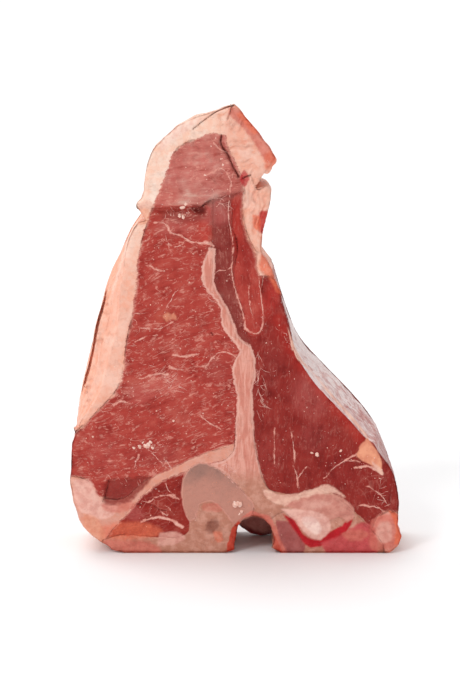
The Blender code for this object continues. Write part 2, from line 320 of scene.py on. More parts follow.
# where the lean turns brighter, paler or darker: middle, half sizes, turn in degrees, colour, strength
tints = [
    (-20, 228, 15, 11, 10, (0.62, 0.185, 0.150), 0.75), (-38, 224, 6, 10, 20, (0.52, 0.120, 0.100), 0.5),
    (-42, 212, 10, 6, 0, (0.58, 0.135, 0.105), 0.6), (-12, 214, 9, 7, 0, (0.50, 0.125, 0.105), 0.7),
    # the dark spots at (-30, 200) and (-22, 204) are painted shadow under the flap's ledge
    (-12, 201, 10, 8, 0, (0.50, 0.110, 0.095), 0.6), (-30, 200, 15, 4, 0, (0.30, 0.050, 0.040), 0.75),
    (-36, 193, 12, 5, 0, (0.50, 0.120, 0.100), 0.5), (-22, 204, 5, 3, -20, (0.16, 0.012, 0.009), 0.8),
    (0, 196, 4, 22, 0, (0.42, 0.030, 0.020), 0.85), (21, 156, 5, 16, -14, (0.44, 0.030, 0.022), 0.8),
    (-4, 218, 9, 9, 0, (0.50, 0.125, 0.100), 0.7), (6, 178, 4, 14, 0, (0.30, 0.016, 0.012), 0.7),
    (-18, 190, 4, 8, 15, (0.50, 0.050, 0.034), 0.7), (-42, 142, 7, 4, 10, (0.50, 0.080, 0.050), 0.6),
    (-22, 116, 7, 4, 0, (0.44, 0.028, 0.018), 0.6), (-12, 110, 10, 9, 0, (0.34, 0.040, 0.032), 0.6),
    (-42, 101, 14, 8, 6, (0.56, 0.110, 0.085), 0.75), (-58, 95, 12, 7, 10, (0.48, 0.085, 0.070), 0.6),
    (-50, 60, 16, 9, 0, (0.36, 0.040, 0.032), 0.6), (-78, 62, 10, 14, 0, (0.44, 0.062, 0.050), 0.5),
    # the tint at (-66, 37) is painted shade in the recessed window
    (-66, 37, 16, 8, 0, (0.285, 0.022, 0.018), 0.9), (-60, 24, 6, 5, 0, (0.46, 0.085, 0.075), 0.7),
    (43, 95, 13, 15, 30, (0.39, 0.062, 0.052), 0.75), (20, 110, 7, 14, 0, (0.24, 0.022, 0.018), 0.5),
    (62, 50, 14, 10, 0, (0.25, 0.012, 0.010), 0.6), (80, 36, 10, 12, 0, (0.27, 0.014, 0.010), 0.6),
    (45, 70, 10, 10, 0, (0.31, 0.040, 0.034), 0.6), (20, 60, 9, 12, 0, (0.34, 0.038, 0.030), 0.6),
]
# the bright wet rim of the tenderloin, under the silver skin, and the rind over the lean low on the left
brightRim = curvePoints([(24, 140), (31, 124), (41, 110), (52, 95), (62, 83), (74, 68)])
rimFlesh = (0.40, 0.016, 0.010)
rindFlesh = (0.80, 0.36, 0.27)

# regions painted over the tissue: outline, colour, soft edge in mm, strength, and "deep" where they go far in
paints = {
    "pearl": (0.84, 0.46, 0.38), "cream": (0.86, 0.50, 0.39), "amber": (0.80, 0.17, 0.085),
    "rust": (0.55, 0.05, 0.025), "deep": (0.29, 0.032, 0.024), "blood": (0.56, 0.014, 0.012),
    "crimson": (0.50, 0.010, 0.018), "berry": (0.58, 0.075, 0.080), "mauve": (0.40, 0.105, 0.095),
    "blush": (0.66, 0.275, 0.215), "white": (0.93, 0.64, 0.56), "peach": (0.82, 0.33, 0.20),
    "rosy": (0.66, 0.17, 0.125), "marrow": (0.24, 0.075, 0.05), "pale": (0.74, 0.36, 0.29),
}
regions = [
    ([(15, 39), (25, 36), (34, 36), (45, 39), (51, 42), (57, 40), (64, 34), (56, 37), (46, 35), (37, 33), (28, 29),
      (18, 33)], "cream", 1.0, 0.85),
    ([(28, 29), (37, 33), (50, 36), (60, 35), (69, 27), (67, 19), (60, 22), (54, 20), (45, 24)], "blush", 1.0, 1.0),
    ([(36, 30), (46, 33), (56, 31), (48, 27), (40, 27)], "pale", 2.5, 0.8),
    ([(26, 27), (37, 27), (45, 26), (54, 21), (55, 12), (50, 7), (44, 9), (36, 17)], "pearl", 1.2, 1.0),
    ([(38, 22), (46, 22), (50, 14), (46, 12), (40, 17)], "white", 1.5, 0.9),
    ([(23, 20), (30, 19), (36, 13), (40, 5), (39, -1), (28, -1), (24, 12)], "mauve", 0.8, 1.0),
    ([(27, 24), (34, 20), (39, 12), (44, 9), (50, 8), (55, 13), (62, 17), (68, 21), (66, 15), (58, 8), (50, 4),
      (42, 4), (36, 11), (31, 18)], "crimson", 1.2, 1.0),
    ([(50, 6), (58, 9), (67, 15), (75, 19), (82, 13), (82, -1), (67, -1), (54, -1)], "berry", 2.0, 0.95),
    ([(62, 12), (70, 15), (78, 12), (74, 8), (66, 8)], "rosy", 2.0, 0.8),
    ([(79, 20), (87, 24), (96, 20), (98, 8), (88, 2), (79, 3)], "rosy", 2.0, 0.8),
    ([(84, 19), (90, 19), (92, 10), (86, 6), (82, 12)], "pale", 2.5, 0.8),
    ([(89, 26), (95, 23), (98, 8), (93, 5), (94, 16)], "amber", 1.2, 0.9, "deep"),
    ([(76, 70), (70, 61), (72, 57), (78, 54), (85, 50), (84, 58), (80, 65)], "peach", 1.0, 1.0),
    ([(79, 56), (85, 51), (86, 47), (81, 51)], "cream", 0.8, 0.9),
    ([(-80, 16), (-66, 19), (-51, 18), (-44, 13), (-52, 9), (-66, 8), (-80, 9)], "amber", 3.5, 0.6),
    ([(-82, 8), (-70, 8), (-50, 6), (-46, -1), (-80, -1)], "rosy", 2.5, 0.8),
    ([(-45, 12), (-36, 13), (-30, 9), (-38, 5), (-47, 5)], "pale", 1.5, 0.9),
    ([(-96, 45), (-86, 44), (-83, 37), (-78, 31), (-70, 29), (-75, 22), (-86, 22), (-95, 30)], "pearl", 2.0, 0.85),
    ([(-90, 24), (-83, 22), (-78, 12), (-80, 5), (-90, 14)], "peach", 2.0, 0.6, "deep"),
    ([(-80, 30), (-70, 31), (-62, 32), (-60, 28), (-70, 25), (-78, 26)], "rosy", 1.5, 0.6),
    # the recessed window, painted dark as its shade
    ([(-76, 44), (-62, 45), (-50, 46), (-57, 38), (-62, 32), (-70, 30), (-78, 31)], "deep", 1.8, 0.85),
    ([(-3, 14), (1, 20), (3, 15), (2, 3), (-3, -1), (-6, -1), (-5, 8)], "rust", 0.8, 0.95),
    ([(0, 20), (3, 22), (8, 26), (14, 24), (20, 22), (26, 8), (30, -1), (26, -1), (22, 12), (14, 21), (6, 22)],
     "rosy", 1.2, 0.9),
    ([(20, 14), (24, 8), (27, -1), (23, -1)], "rust", 0.8, 0.8),
    ([(-2, 263), (6, 257), (12, 249), (19, 241), (22, 232), (16, 232), (10, 242), (3, 251), (-5, 259)],
     "rosy", 1.5, 0.8, "deep"),
    ([(3, 260), (9, 254), (13, 249), (10, 247), (5, 252), (0, 258)], "amber", 2.0, 0.75, "deep"),
    ([(-12, 258), (-8, 252), (-10, 256), (-5, 260)], "peach", 1.5, 0.6),
    ([(16, 236), (21, 238), (22, 230), (16, 227)], "amber", 2.2, 0.6),
    ([(13, 203), (17, 204), (18, 197), (15, 190), (12, 194)], "blood", 1.6, 0.9),
    ([(9, 201), (13, 200), (13, 191), (10, 193)], "amber", 1.5, 0.8),
    ([(1, 222), (4, 227), (7, 222), (4, 217)], "crimson", 0.9, 0.8),
    ([(14, 178), (20, 178), (24, 168), (27, 156), (23, 156), (19, 164), (13, 170)], "amber", 2.0, 0.75, "deep"),
    ([(-43, 142), (-40, 145), (-38, 143), (-36, 144), (-35, 140), (-38, 140), (-41, 139)], "peach", 0.8, 0.6),
    ([(-17, 19), (-12, 21), (-10, 16), (-14, 12), (-18, 14)], "marrow", 3.0, 0.75),
    ([(-14, 13), (-9, 13), (-8, 8), (-12, 7)], "amber", 1.5, 0.5),
    ([(-19, 30), (-11, 30), (-9, 26), (-20, 26)], "rosy", 1.5, 0.5),
    ([(-56, 208), (-50, 210), (-47, 205), (-55, 202)], "cream", 1.0, 0.8, "deep"),
    ([(-58, 204), (-50, 204), (-52, 196), (-58, 196)], "peach", 1.5, 0.6, "deep"),
    ([(-40, 250), (-30, 254), (-20, 256), (-10, 262), (-26, 251), (-44, 238)], "white", 2.5, 0.5),
]
# how ragged the edge of a painted region is
paintNoise = 3.52


def softShare(outline, x, z, soft):
    ring = np.array(outline, float)
    share = np.zeros(len(x))
    near = nearPath(ring, x, z, soft + 1)
    if len(near):
        share[near] = smoothStep(soft * 0.5, -soft * 0.5, signedTo(outline, x[near], z[near]))
    return share


def spotShare(spot, x, z):
    middleX, middleZ, halfX, halfZ, turn = spot
    angle = math.radians(turn)
    dx, dz = x - middleX, z - middleZ
    u = (dx * math.cos(angle) + dz * math.sin(angle)) / halfX
    v = (dz * math.cos(angle) - dx * math.sin(angle)) / halfZ
    return 1 - smoothStep(0.45, 1.25, np.hypot(u, v))


def veinEdge(x, y, z):
    edge = np.full(len(x), 9.0)
    shiftX = x + 0.8 * layeredNoise(x, y, z, 3.0, 41)
    shiftZ = z + 0.8 * layeredNoise(x, y, z, 3.0, 43)
    swell = 0.35 * noise(x, y, z, 3.3, 45)
    for vein in veins:
        near = nearPath(vein["curve"], x, z, 4)
        if len(near):
            away = distanceTo(vein["curve"], shiftX[near], shiftZ[near], vein["widths"]) + swell[near]
            edge[near] = np.minimum(edge[near], away)
    return edge


def crackDistances(x, y, z):
    wander = 0.35 * layeredNoise(x, y, z, 2.5, 47)
    for crack in cracks.values():
        near = nearPath(crack["curve"], x, z, 4)
        if len(near):
            yield crack, near, distanceTo(crack["curve"], x[near] + wander[near], z[near] + wander[near])


def crackEdge(x, y, z):
    edge = np.full(len(x), 9.0)
    for crack, near, away in crackDistances(x, y, z):
        edge[near] = np.minimum(edge[near], away - crack["width"])
    return edge


def grain(place):
    x, y, z = place.x, place.y, place.z
    members = [names.index(name) for name in ("tenderloin", "flank_strip", "flank_wedge")]
    right = smoothStep(-2, 2, -place.against(members))
    sweep = 0.22 * x + 4 * np.sin(x / 26 + z / 60) + 2 * np.sin(z / 31 + 1)
    along = x * (1 - right) + z * right
    across = (z - sweep) * (1 - right) + (x + 3 * np.sin(z / 28)) * right
    return along + 2 * noise(x, y, z, 12, 20), across + 0.3 * y


# relief of the surface, in mm along the outward normal

relief = {
    "coarse": 0.5, "fibre": 0.28, "fatLump": 0.28, "flapRise": 2.0, "flapShade": 2.6, "windowDepth": 1.6,
    "curl": 1.15, "curlStep": 3.4, "rimRound": 2.6, "rimDrop": 1.7, "facePlane": 1.3, "proud": 1.5,
    "dive": 0.7, "diveLate": 0.35, "veinRise": 0.28, "seamGroove": 0.35, "nodules": 3.0, "nodulesFrom": 0.22,
}
window = [(-76, 44), (-62, 45), (-50, 46), (-57, 38), (-62, 32), (-70, 30), (-78, 31)]
folds = [
    # middle, half sizes, phase, turn of the ridges in degrees
    (3, 240, 11, 6, 0.0, 0), (3, 229, 8, 8, 1.2, 8), (10, 223, 5.5, 4.0, 0.6, 30), (8, 210, 5, 11, 2.0, 80),
    (15, 209, 5, 10, 0.4, 70), (11, 195, 4, 8, 1.0, 75), (2, 252, 8, 5, 0.3, 40),
]
# lumps raised or sunk on the cut face: middle, half sizes, turn, height
mounds = [
    (48, 30, 18, 7, 8, 1.0), (44, 16, 9, 7, -25, 1.4), (66, 12, 10, 6, 15, 0.8), (88, 12, 7, 8, 0, 1.2),
    (32, 12, 6, 10, 0, -1.4), (60, 20, 10, 2.2, 20, -1.0), (-63, 8, 4, 4, 0, 0.9), (-66, 13, 16, 3, 5, -0.7),
    (-88, 30, 7, 12, 0, 0.8), (-27, 205, 7, 4, -15, 1.2), (-40, 209, 8, 3.5, 5, 1.2), (-22, 204, 6, 2.5, -30, -1.6),
    (12, 224, 7, 4, 0, 1.2), (15, 209, 5, 11, 0, 1.8), (6, 232, 9, 9, 0, 1.0), (4, 207, 2.5, 14, 0, -0.6),
    (-26, 227, 7, 5, 20, 0.8), (-10, 222, 6, 4, 0, -0.7), (-42, 142, 4, 3, 0, 0.9), (-29, 119.5, 8, 2, 0, 0.5),
    (0, 31, 3.2, 3.0, 0, 1.0), (78, 60, 5, 9, 30, 0.7), (-14, 17, 3, 3, 0, -0.5), (14, 172, 5, 9, -15, 0.7),
]


def frontRelief(place):
    x, y, z = place.x, place.y, place.z
    height = relief["coarse"] * noise(x, y, z, 26, 2) + 0.25 * noise(x, y, z, 9, 5)
    againstFat, againstBone = place.against(ofKind("fat")), place.against(ofKind("bone"))
    fat = smoothStep(0.5, -0.5, againstFat)
    bone = smoothStep(0.5, -0.5, againstBone)
    againstGristle = place.against(ofKind("gristle"))
    gristle = smoothStep(0.6, -0.6, againstGristle)
    lean = np.clip(1 - fat - bone - gristle, 0, 1)
    along, across = grain(place)
    bundles = layeredNoise(along / 3.5, 0 * x, across, 1.7, 4) + 0.6 * layeredNoise(along / 5, 0 * x, across, 3.6, 9)
    height += lean * relief["fibre"] * bundles
    height += (fat + 0.7 * bone) * relief["fatLump"] * layeredNoise(x, y, z, 3.2, 6)
    height += gristle * 0.5
    front = smoothStep(2, -2, y)
    # the upper flap stands proud of the loin and shades it
    ridge = signedSide(flapLine, x, z)
    flap = smoothStep(-0.5, 0.9, ridge) * smoothStep(9, 1, x) * (1 - fat * 0.4)
    height += front * relief["flapRise"] * flap * smoothStep(40, 6, ridge)
    under = smoothStep(-8, -0.6, ridge) * smoothStep(0.4, -0.6, ridge)
    under *= smoothStep(-52, -44, x) * smoothStep(-10, -24, x)
    height -= front * relief["flapShade"] * under
    height -= front * relief["windowDepth"] * softShare(window, x, z, 1.6)
    for crack, near, away in crackDistances(x, y, z):
        height[near] -= front[near] * crack["depth"] * smoothStep(crack["width"] * 2.2 + 0.3, 0.1, away)
    for middleX, middleZ, halfX, halfZ, phase, turn in folds:
        share = spotShare((middleX, middleZ, halfX, halfZ, 0), x, z)
        if share.max() <= 0:
            continue
        angle = math.radians(turn)
        across = (z - middleZ) * math.cos(angle) - (x - middleX) * math.sin(angle)
        bend = layeredNoise(x, 0 * x, z, 6, 11)
        wave = np.sin((across + 3.2 * bend) * 2 * math.pi / relief["curlStep"] + phase)
        height += front * share * fat * relief["curl"] * (0.6 * np.abs(wave) ** 0.6 * np.sign(wave) - 0.1)
    for middleX, middleZ, halfX, halfZ, turn, rise in mounds:
        height += front * rise * spotShare((middleX, middleZ, halfX, halfZ, turn), x, z)
    height += relief["veinRise"] * lean * smoothStep(0.6, -0.5, veinEdge(x, y, z))
    seams = np.partition(np.array(place.fields), 1, axis=0)
    between = np.abs(seams[1] - seams[0]) / 2
    farFromOthers = smoothStep(1.5, 3, np.abs(againstFat)) * smoothStep(1.5, 3, np.abs(againstBone))
    height -= relief["seamGroove"] * smoothStep(0.9, 0.0, between) * lean * farFromOthers
    nodules = np.abs(layeredNoise(x, y, z, 5.0, 71))
    tailMuscle = smoothStep(1, -1, place.fields[names.index("tail_muscle")])
    height += front * relief["nodules"] * (nodules - relief["nodulesFrom"]) * tailMuscle
    return np.where(height > relief["proud"], relief["proud"] + 0.3 * (height - relief["proud"]), height)


# how far the cut face rounds down to the outline
def rimDrop(place):
    inward = np.minimum(np.maximum(-place.rim, 0) / relief["rimRound"], 1)
    return relief["rimDrop"] * (1 - np.sqrt(np.clip(1 - (1 - inward) ** 2, 0, 1)))


def sideRelief(place):
    x, y, z = place.x, place.y, place.z
    waves = np.sin(y / 3.4 + 3.0 * noise(x, y, z, 19, 31) + z * 0.03)
    lumps = layeredNoise(x, y, z * 1.4, 8, 33)
    return 0.22 * waves * smoothStep(0, -20, x) + 0.6 * lumps + 0.15 * layeredNoise(x, y, z, 2.4, 35)


# notches and bumps of the outline: place, radius, outward height, how far through from the front, all in mm
outlineMarks = [
    (-54, 201, 3.2, -2.6, 40), (-57, 206, 3.0, 1.6, 30), (12, 221, 4.0, -5.0, 60), (18, 226, 4.0, 2.0, 40),
    (22, 232, 2.6, 1.8, 22), (20, 218, 4.0, 1.6, 40), (19, 197, 5.0, -1.5, 50), (17, 186, 3.0, 0.8, 24),
    (19, 176, 3.4, 1.6, 24), (22, 166, 3.0, -1.0, 24), (26, 156, 3.0, 0.9, 30), (-33, 249, 3.0, 0.8, 30),
    (-44, 236, 3.4, 0.9, 40), (-52, 214, 3.0, -0.6, 50), (80, 66, 4.0, 1.6, 60), (97, 20, 4.0, 0.8, 60),
    (-94, 73, 4.0, -1.2, 40), (-97, 44, 4.0, 0.9, 40), (-92, 26, 4.0, -1.0, 50), (16, 244, 3.0, -0.8, 40),
]


def outlineRelief(x, y, z):
    height = np.zeros(len(x))
    for markX, markZ, radius, rise, through in outlineMarks:
        away = np.hypot(x - markX, z - markZ) / (radius * 1.8)
        height += rise * smoothStep(1, 0.1, away) * smoothStep(through, through * 0.5, y + halfThick)
    return height


# one closed, finely divided mesh for each tissue

meshing = {"voxel": 0.72, "grow": 0.8, "smoothRounds": 9}


def remeshed(node):
    mesh = bmesh.new()
    mesh.from_mesh(node.data)
    bmesh.ops.remove_doubles(mesh, verts=mesh.verts, dist=1e-6)
    bmesh.ops.recalc_face_normals(mesh, faces=mesh.faces)
    mesh.normal_update()
    for vert in mesh.verts:
        vert.co += vert.normal * meshing["grow"] * mm
    data = bpy.data.meshes.new("coarse")
    mesh.to_mesh(data)
    mesh.free()
    holder = bpy.data.objects.new("coarse", data)
    bpy.context.scene.collection.objects.link(holder)
    modifier = holder.modifiers.new("Remesh", "REMESH")
    modifier.mode = "VOXEL"
    modifier.voxel_size = meshing["voxel"] * mm
    fine = bpy.data.meshes.new_from_object(holder.evaluated_get(bpy.context.evaluated_depsgraph_get()))
    bpy.data.objects.remove(holder)
    bpy.data.meshes.remove(data)
    return fine


def readVectors(items, key):
    flat = np.empty(len(items) * 3, np.float32)
    items.foreach_get(key, flat)
    return flat.reshape(-1, 3).astype(float)


def coordinates(mesh):
    return readVectors(mesh.vertices, "co") / mm


def vertexNormals(mesh):
    return readVectors(mesh.vertex_normals, "vector")


def setCoordinates(mesh, points):
    mesh.vertices.foreach_set("co", (points * mm).astype(np.float32).ravel())
    mesh.update()


def relax(points, edges, weight, rounds):
    count = len(points)
    degree = np.maximum(np.bincount(edges.ravel(), minlength=count), 1)
    for _ in range(rounds):
        total = np.empty_like(points)
        for axis in range(3):
            column = points[:, axis]
            total[:, axis] = np.bincount(edges[:, 0], column[edges[:, 1]], count)
            total[:, axis] += np.bincount(edges[:, 1], column[edges[:, 0]], count)
        points = points + (total / degree[:, None] - points) * weight[:, None] * 0.6
    return points


def shapedPiece(name):
    index = names.index(name)
    mesh = remeshed(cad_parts[name])
    points = coordinates(mesh)
    edges = np.empty(len(mesh.edges) * 2, int)
    mesh.edges.foreach_get("vertices", edges)
    edges = edges.reshape(-1, 2)
    normals = vertexNormals(mesh)
    place = Place(*points.T)
    neighbours = np.min([field for other, field in enumerate(place.fields) if other != index], axis=0)
    facing = np.abs(normals[:, 1])
    openSide = smoothStep(1.0, 3.0, neighbours) * (1 - smoothStep(0.3, 0.7, facing))
    points = relax(points, edges, openSide, meshing["smoothRounds"])
    setCoordinates(mesh, points)
    normals = vertexNormals(mesh)
    onFace = smoothStep(0.25, 0.6, facing)
    onSkin = np.maximum(onFace, smoothStep(-0.1, 0.3, neighbours))
    points -= normals * (meshing["grow"] * onSkin * (1 - onFace))[:, None]
    place = Place(*points.T)
    others = np.min([field for other, field in enumerate(place.fields) if other != index], axis=0)
    beyond = np.maximum((place.fields[index] - others) / 2 - relief["diveLate"], 0)
    beyond = np.where(neighbours < 2.5, beyond, 0)
    # pieces overlap a little at a seam, each at its own level, so that none shows a gap
    level = 0.02 * (index % 5)
    height = frontRelief(place)
    side = np.where(points[:, 1] < 0, -1.0, 1.0)
    drop = rimDrop(place) + level * (beyond > 0)
    plane = side * (halfThick - relief["facePlane"] - drop + height - relief["dive"] * beyond)
    points[:, 1] = points[:, 1] * (1 - onFace) + plane * onFace
    sideHeight = sideRelief(place) * onSkin * (1 - onFace) - relief["dive"] * beyond * (1 - onFace)
    standing = smoothStep(0.2, 3.0, points[:, 2])
    points += normals * (sideHeight * standing)[:, None]
    outward = np.stack([normals[:, 0], 0 * facing, normals[:, 2]], axis=1)
    rimShare = smoothStep(-7, -0.5, place.rim) * standing
    middle = np.array([0.0, 0.0, 120.0])
    away = (points - middle) * (1, 0, 1)
    away /= np.maximum(np.linalg.norm(away, axis=1), 1)[:, None]
    outward = outward * (1 - onFace)[:, None] + away * onFace[:, None]
    points += outward * (outlineRelief(*points.T) * rimShare)[:, None]
    points[:, 2] = np.maximum(points[:, 2], 0.05)
    setCoordinates(mesh, points)
    return mesh, points


def storeFloat(mesh, name, values):
    layer = mesh.attributes.new(name, "FLOAT", "POINT")
    layer.data.foreach_set("value", values.astype(np.float32))


def storeVector(mesh, name, values):
    layer = mesh.attributes.new(name, "FLOAT_VECTOR", "POINT")
    layer.data.foreach_set("vector", values.astype(np.float32).ravel())


def blended(colour, share, target):
    return colour * (1 - share[:, None]) + np.array(target) * share[:, None]


def leanColour(place):
    x, y, z = place.x, place.y, place.z
    total = np.full(len(x), 1e-4)
    colour = np.full((len(x), 3), 1e-4) * (0.40, 0.05, 0.04)
    marbling = np.full(len(x), 1e-4)
    for index, name in enumerate(names):
        tissue = tissues[name]
        if tissue["kind"] == "lean":
            share = smoothStep(1.2, -0.6, place.fields[index]) + 1e-4 / (1 + np.abs(place.fields[index]))
            colour += share[:, None] * np.array(tissue["flesh"])
            marbling += share * tissue["marbling"]
            total += share
    colour /= total[:, None]
    for middleX, middleZ, halfX, halfZ, turn, target, strength in tints:
        share = strength * spotShare((middleX, middleZ, halfX, halfZ, turn), x, z) * smoothStep(14, -6, y)
        colour = blended(colour, share, target)
    near = nearPath(brightRim, x, z, 9)
    share = np.zeros(len(x))
    share[near] = 0.6 * smoothStep(6.5, 0.5, distanceTo(brightRim, x[near], z[near]))
    colour = blended(colour, share, rimFlesh)
    return colour, marbling / total


fatShades = {
    "cut": (0.88, 0.49, 0.375), "outer": (0.88, 0.40, 0.25), "top": (0.93, 0.66, 0.54), "folds": (0.88, 0.50, 0.39),
    "chine": (0.72, 0.34, 0.26), "corner": (0.80, 0.36, 0.29),
}


def fatColour(place, outside):
    x, y, z = place.x, place.y, place.z
    colour = np.zeros((len(x), 3)) + fatShades["cut"]
    colour = blended(colour, smoothStep(150, 215, z) * smoothStep(0, -20, x), fatShades["top"])
    colour = blended(colour, smoothStep(1, -1, place.fields[names.index("tail_fat")]), fatShades["folds"])
    colour = blended(colour, smoothStep(1, -1, place.fields[names.index("chine_fat")]), fatShades["chine"])
    colour = blended(colour, smoothStep(1, -1, place.fields[names.index("corner_fat")]), fatShades["corner"])
    orange = outside * smoothStep(-20, 14, y) * smoothStep(235, 190, z)
    orange *= 1 - 0.45 * smoothStep(0, 20, x)
    return blended(colour, 0.8 * orange, fatShades["outer"])


silverSkin = {
    "edge": [(27, 134), (31, 125), (35, 120), (41, 113), (48, 105), (54, 97), (63, 86), (76, 70)],
    "stripWidths": (2.6, 0.3), "low": 62, "high": 155,
}
silverSkin["curve"] = curvePoints(silverSkin["edge"])


def regionPaint(x, y, z, normals):
    colour = np.zeros((len(x), 3))
    weight = np.zeros(len(x))
    frontOnly = smoothStep(-8, -17, y)
    drift = layeredNoise(x, y, z, 7.0, 52)
    deepFade = smoothStep(10, -18, y + 7 * drift)

    def lay(share, target):
        kept = weight * (1 - share)
        total = np.maximum(kept + share, 1e-6)
        colour[:] = (colour * kept[:, None] + np.array(target) * share[:, None]) / total[:, None]
        weight[:] = kept + share

    wander = 0.9 * layeredNoise(x, y, z, 3.4, 51)
    for outline, shade, soft, strength, *depth in regions:
        share = strength * softShare(outline, x + wander, z - wander, soft)
        lay(share * (deepFade if depth else frontOnly), paints[shade])
    near = nearPath(silverSkin["curve"], x, z, 6)
    share = np.zeros(len(x))
    away = distanceTo(silverSkin["curve"], x[near], z[near], silverSkin["stripWidths"])
    share[near] = smoothStep(0.5, -0.4, away)
    rounded = smoothStep(0.98, 0.9, -normals[:, 1])
    lay(share * rounded * smoothStep(-12, -17, y), paints["cream"])
    return colour, weight


def painted(mesh, points):
    normals = vertexNormals(mesh)
    place = Place(*points.T, wobble=0.9)
    x, y, z = points.T
    storeFloat(mesh, "fatEdge", place.against(ofKind("fat")))
    storeFloat(mesh, "boneEdge", place.against(ofKind("bone")))
    storeFloat(mesh, "gristleEdge", place.against(ofKind("gristle")))
    storeFloat(mesh, "veinEdge", veinEdge(x, y, z) + 4 * smoothStep(0, 8, y))
    storeFloat(mesh, "crackEdge", crackEdge(x, y, z) + 4 * smoothStep(-14, -8, y))
    outside = smoothStep(0.75, 0.35, np.abs(normals[:, 1])) * smoothStep(-6, -1.5, place.rim)
    storeFloat(mesh, "outside", outside)
    flesh, marbling = leanColour(place)
    rind = outside * smoothStep(-60, -80, x) * smoothStep(-16, -7, y + 4 * layeredNoise(x, y, z, 5.0, 54))
    flesh = blended(flesh, 0.85 * rind, rindFlesh)
    storeVector(mesh, "flesh", flesh)
    streaks = spotShare((-42, 101, 16, 9, 8), x, z) + 0.5 * spotShare((-64, 97, 9, 7, 20), x, z)
    streaks += 0.6 * spotShare((-14, 213, 12, 12, 0), x, z) + 0.4 * spotShare((-36, 85, 25, 8, 0), x, z)
    storeFloat(mesh, "streaks", np.clip(streaks, 0, 1) * smoothStep(6, -6, y))
    storeFloat(mesh, "marbling", marbling)
    net = 0.45 * spotShare((-46, 29, 15, 10, 10), x, z) + 0.8 * spotShare((-3, 49, 13, 9, -25), x, z)
    net += 0.35 * spotShare((-20, 190, 9, 8, 0), x, z) + 0.3 * spotShare((80, 40, 9, 14, 0), x, z)
    storeFloat(mesh, "net", np.clip(net, 0, 1))
    storeVector(mesh, "fat", fatColour(place, outside))
    silver = outside * smoothStep(14, 24, x) * smoothStep(silverSkin["low"] - 25, silverSkin["low"] + 10, z)
    high, drift = silverSkin["high"], 5 * layeredNoise(x, y, z, 9.0, 53)
    storeFloat(mesh, "silver", silver * smoothStep(high + 22, high - 22, z + drift))
    along, across = grain(place)
    storeVector(mesh, "grain", np.stack([along, across, y], axis=1))
    colour, weight = regionPaint(x, y, z, normals)
    storeVector(mesh, "paint", colour)
    storeFloat(mesh, "paintShare", weight)
    mesh.shade_smooth()


# one material recipe, mixed by the fields stored on each mesh

palette = {
    "marble": (0.78, 0.33, 0.26), "fleck": (0.86, 0.50, 0.42), "fatAmber": (0.86, 0.30, 0.16),
    "bone": (0.52, 0.215, 0.145), "bonePale": (0.64, 0.31, 0.23), "boneRed": (0.40, 0.07, 0.045),
    "stem": (0.66, 0.235, 0.175), "stemPale": (0.80, 0.38, 0.30), "gristle": (0.34, 0.175, 0.14),
    "gristlePale": (0.56, 0.25, 0.19), "silver": (0.86, 0.74, 0.72), "silverRed": (0.42, 0.095, 0.08),
    # the last colour is painted glints of wet sheen on the lean
    "crack": (0.13, 0.015, 0.010), "glintAndLowRed": (0.95, 0.70, 0.64),
}


class Tree:
    def __init__(self, tree):
        self.tree = tree
        self.tree.nodes.clear()
        self.count = 0

    def add(self, kind, **settings):
        node = self.tree.nodes.new(kind)
        node.location = (-220 * (self.count % 12), -160 * (self.count // 12))
        self.count += 1
        for key, value in settings.items():
            setattr(node, key, value)
        return node

    def link(self, value, socket):
        if isinstance(value, bpy.types.NodeSocket):
            self.tree.links.new(value, socket)
        elif isinstance(value, tuple) and len(value) == 3 and socket.type == "RGBA":
            socket.default_value = (*value, 1)
        else:
            socket.default_value = value

    def fill(self, node, **values):
        for key, value in values.items():
            self.link(value, node.inputs[key.replace("_", " ")])
        return node

    def attribute(self, name, output="Fac"):
        return self.add("ShaderNodeAttribute", attribute_name=name).outputs[output]

    def math(self, operation, first, second=0.0, clamp=False):
        node = self.add("ShaderNodeMath", operation=operation, use_clamp=clamp)
        self.link(first, node.inputs[0])
        self.link(second, node.inputs[1])
        return node.outputs[0]

    def times(self, *values):
        result = values[0]
        for value in values[1:]:
            result = self.math("MULTIPLY", result, value)
        return result

    def plus(self, *values):
        result = values[0]
        for value in values[1:]:
            result = self.math("ADD", result, value)
        return result

    def span(self, value, low, high, toLow=0.0, toHigh=1.0):
        node = self.add("ShaderNodeMapRange", interpolation_type="SMOOTHSTEP")
        self.link(value, node.inputs["Value"])
        for key, number in (("From Min", low), ("From Max", high), ("To Min", toLow), ("To Max", toHigh)):
            self.link(number, node.inputs[key])
        return node.outputs["Result"]

    def mix(self, share, first, second, blend="MIX"):
        node = self.add("ShaderNodeMix", data_type="RGBA", blend_type=blend)
        self.link(share, node.inputs["Factor"])
        self.link(first, node.inputs[6])
        self.link(second, node.inputs[7])
        return node.outputs[2]

    def tinted(self, colour, factors):
        return self.mix(1.0, colour, factors, "MULTIPLY")

    def scaled(self, vector, factors):
        node = self.add("ShaderNodeVectorMath", operation="MULTIPLY")
        self.link(vector, node.inputs[0])
        node.inputs[1].default_value = factors
        return node.outputs[0]

    def noise(self, vector, scale, detail=2.0, rough=0.5, warp=0.0):
        node = self.add("ShaderNodeTexNoise")
        self.link(vector, node.inputs["Vector"])
        for key, number in (("Scale", scale), ("Detail", detail), ("Roughness", rough), ("Distortion", warp)):
            node.inputs[key].default_value = number
        return node.outputs["Fac"]

    def contour(self, vector, scale, detail, rough, warp):
        level = self.math("SUBTRACT", self.noise(vector, scale, detail, rough, warp), 0.5)
        return self.math("ABSOLUTE", level)

    # one where the value is near zero
    def band(self, value, outer, inner):
        return self.span(self.math("ABSOLUTE", value), outer, inner)

    def cellEdge(self, vector, scale):
        node = self.add("ShaderNodeTexVoronoi", feature="DISTANCE_TO_EDGE")
        self.link(vector, node.inputs["Vector"])
        node.inputs["Scale"].default_value = scale
        return node.outputs["Distance"]


def shaderTree(material):
    material.use_nodes = True
    return Tree(material.node_tree)


def millimetres(t):
    return t.scaled(t.add("ShaderNodeTexCoord").outputs["Object"], (1000, 1000, 1000))


